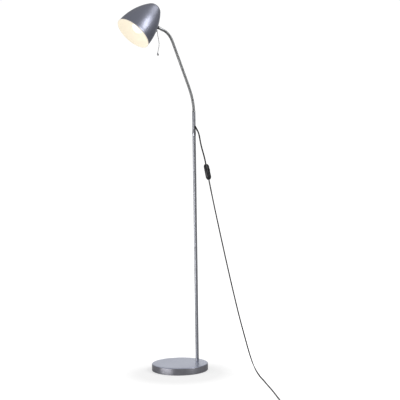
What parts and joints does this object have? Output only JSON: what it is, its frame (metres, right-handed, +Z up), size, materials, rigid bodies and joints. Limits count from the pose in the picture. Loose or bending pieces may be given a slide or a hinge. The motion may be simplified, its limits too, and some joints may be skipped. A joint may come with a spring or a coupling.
{
  "type": "gooseneck reading floor lamp",
  "caption": "Floor reading lamp with a weighted round base, slim pole, articulated gooseneck, small bell shade with pull chain, and a mains cord with an inline rocker switch.",
  "frame": {"origin": "middle of the underside of the round base, on the floor", "axes": "+Z up, +X the way the gooseneck reaches from the pole towards the shade, pole and neck in the plane Y = 0"},
  "size_m": [0.3751, 0.8549, 1.2949],
  "materials": {
    "cover_paint": "satin",
    "weight_iron": "rough",
    "pad_rubber": "matte",
    "zinc_steel": "satin",
    "pole_paint": "satin",
    "collar_metal": "satin",
    "bush_rubber": "matte",
    "neck_metal": "satin",
    "ferrule_chrome": "polished",
    "lead_sheath": "matte",
    "knuckle_plastic": "glossy",
    "shade_paint": "satin",
    "holder_plastic": "matte",
    "shell_brass": "satin",
    "block_ceramic": "matte",
    "bulb_cap_metal": "satin",
    "bulb_opal": "satin",
    "switch_plastic": "matte",
    "chain_nickel": "polished",
    "cord_sheath": "satin",
    "case_plastic": "satin",
    "rocker_plastic": "glossy",
    "plug_plastic": "satin",
    "pin_nickel": "polished"
  },
  "bodies": {
    "stand": {"base_cover": "cover_paint", "base_weight": "weight_iron", "base_pad": "pad_rubber", "pole_bolt": "zinc_steel", "pole_bolt_washer": "zinc_steel", "pole_foot_plug": "zinc_steel", "pole_lower": "pole_paint", "pole_stud": "zinc_steel", "pole_upper": "pole_paint", "pole_collar": "collar_metal", "cord_sleeve": "pole_paint", "cord_bush": "bush_rubber", "neck_foot_ferrule": "neck_metal", "neck_lead": "lead_sheath", "cord_upper": "cord_sheath", "cord_lower": "cord_sheath", "cord_coil": "cord_sheath", "case_upper": "case_plastic", "case_lower": "case_plastic", "case_screws": "zinc_steel", "plug_body": "plug_plastic", "plug_pins": "pin_nickel"},
    "neck_1": {"neck_link_1": "neck_metal"},
    "neck_2": {"neck_link_2": "neck_metal"},
    "neck_3": {"neck_link_3": "neck_metal"},
    "neck_4": {"neck_link_4": "neck_metal"},
    "neck_5": {"neck_link_5": "neck_metal"},
    "neck_6": {"neck_link_6": "neck_metal"},
    "neck_7": {"neck_link_7": "neck_metal"},
    "neck_8": {"neck_link_8": "neck_metal"},
    "neck_9": {"neck_link_9": "neck_metal"},
    "neck_end": {"neck_end_ferrule": "ferrule_chrome", "swivel_knuckle": "knuckle_plastic", "nipple_nut": "zinc_steel"},
    "head": {"shade": "shade_paint", "holder_strap": "zinc_steel", "holder_cap": "holder_plastic", "holder_barrel": "holder_plastic", "stem_nut": "zinc_steel", "screw_shell": "shell_brass", "contact_block": "block_ceramic", "bulb_cap": "bulb_cap_metal", "bulb_glass": "bulb_opal", "pull_switch": "switch_plastic", "ring_nuts": "chain_nickel"},
    "puller": {"pull_plunger": "chain_nickel"},
    "chain": {"pull_chain": "chain_nickel", "chain_knob": "chain_nickel"},
    "rocker": {"case_rocker": "rocker_plastic"}
  },
  "joints": [
    {"name": "neck_lower_bend", "type": "hinge", "parent": "stand", "child": "neck_1", "pos_m": [-0.072, 0, 0.934], "axis": [0, 1, 0], "range_deg": [-20, 20], "deforming": ["neck_lead"]},
    {"name": "neck_side_bend", "type": "hinge", "parent": "neck_1", "child": "neck_2", "pos_m": [-0.06755, 0, 0.96569], "axis": [-0.9763, 0, 0.2164], "range_deg": [-15, 15], "deforming": ["neck_lead"]},
    {"name": "neck_lower_bend_2", "type": "hinge", "parent": "neck_2", "child": "neck_3", "pos_m": [-0.05702, 0, 1.00012], "axis": [0, 1, 0], "range_deg": [-20, 20], "deforming": ["neck_lead"]},
    {"name": "neck_side_bend_2", "type": "hinge", "parent": "neck_3", "child": "neck_4", "pos_m": [-0.04184, 0, 1.03712], "axis": [-0.9252, 0, 0.3795], "range_deg": [-15, 15], "deforming": ["neck_lead"]},
    {"name": "neck_lower_bend_3", "type": "hinge", "parent": "neck_4", "child": "neck_5", "pos_m": [-0.02667, 0, 1.07413], "axis": [0, 1, 0], "range_deg": [-20, 20], "deforming": ["neck_lead"]},
    {"name": "neck_side_bend_3", "type": "hinge", "parent": "neck_5", "child": "neck_6", "pos_m": [-0.01149, 0, 1.11114], "axis": [-0.9252, 0, 0.3795], "range_deg": [-15, 15], "deforming": ["neck_lead"]},
    {"name": "neck_upper_bend", "type": "hinge", "parent": "neck_6", "child": "neck_7", "pos_m": [0.00293, 0, 1.1463], "axis": [0, 1, 0], "range_deg": [-28, 4], "deforming": ["neck_lead"]},
    {"name": "neck_side_bend_4", "type": "hinge", "parent": "neck_7", "child": "neck_8", "pos_m": [0.01432, 0, 1.17406], "axis": [-0.8846, 0, 0.4664], "range_deg": [-15, 15], "deforming": ["neck_lead"]},
    {"name": "neck_upper_bend_2", "type": "hinge", "parent": "neck_8", "child": "neck_9", "pos_m": [0.02475, 0, 1.18993], "axis": [0, 1, 0], "range_deg": [-28, 4], "deforming": ["neck_lead"]},
    {"name": "neck_upper_bend_3", "type": "hinge", "parent": "neck_9", "child": "neck_end", "pos_m": [0.03958, 0, 1.20182], "axis": [0, 1, 0], "range_deg": [-28, 4], "deforming": ["neck_lead"]},
    {"name": "shade_swivel", "type": "hinge", "parent": "neck_end", "child": "head", "pos_m": [0.06676, 0, 1.21192], "axis": [0.9373, 0, 0.3486], "range_deg": [-150, 150]},
    {"name": "chain_pull", "type": "slide", "parent": "head", "child": "puller", "axis": [-0.9148, 0, -0.4039], "range_m": [0, 0.006], "stiffness_N_per_m": 600, "springref_m": -0.004},
    {"name": "chain_swing", "type": "hinge", "parent": "puller", "child": "chain", "pos_m": [0.07107, 0, 1.19893], "axis": [0, 1, 0], "range_deg": [-12, 35]},
    {"name": "rocker_tilt", "type": "hinge", "parent": "stand", "child": "rocker", "pos_m": [-0.09192, 0.06185, 0.70624], "axis": [-0.9519, -0.3065, 0], "range_deg": [-14, 0]}
  ],
  "couplings": [
    {"joint": "neck_lower_bend_2", "follows": "neck_lower_bend", "ratio": 1},
    {"joint": "neck_side_bend_2", "follows": "neck_side_bend", "ratio": 1},
    {"joint": "neck_lower_bend_3", "follows": "neck_lower_bend", "ratio": 1},
    {"joint": "neck_side_bend_3", "follows": "neck_side_bend", "ratio": 1},
    {"joint": "neck_side_bend_4", "follows": "neck_side_bend", "ratio": 1},
    {"joint": "neck_upper_bend_2", "follows": "neck_upper_bend", "ratio": 1},
    {"joint": "neck_upper_bend_3", "follows": "neck_upper_bend", "ratio": 1}
  ]
}
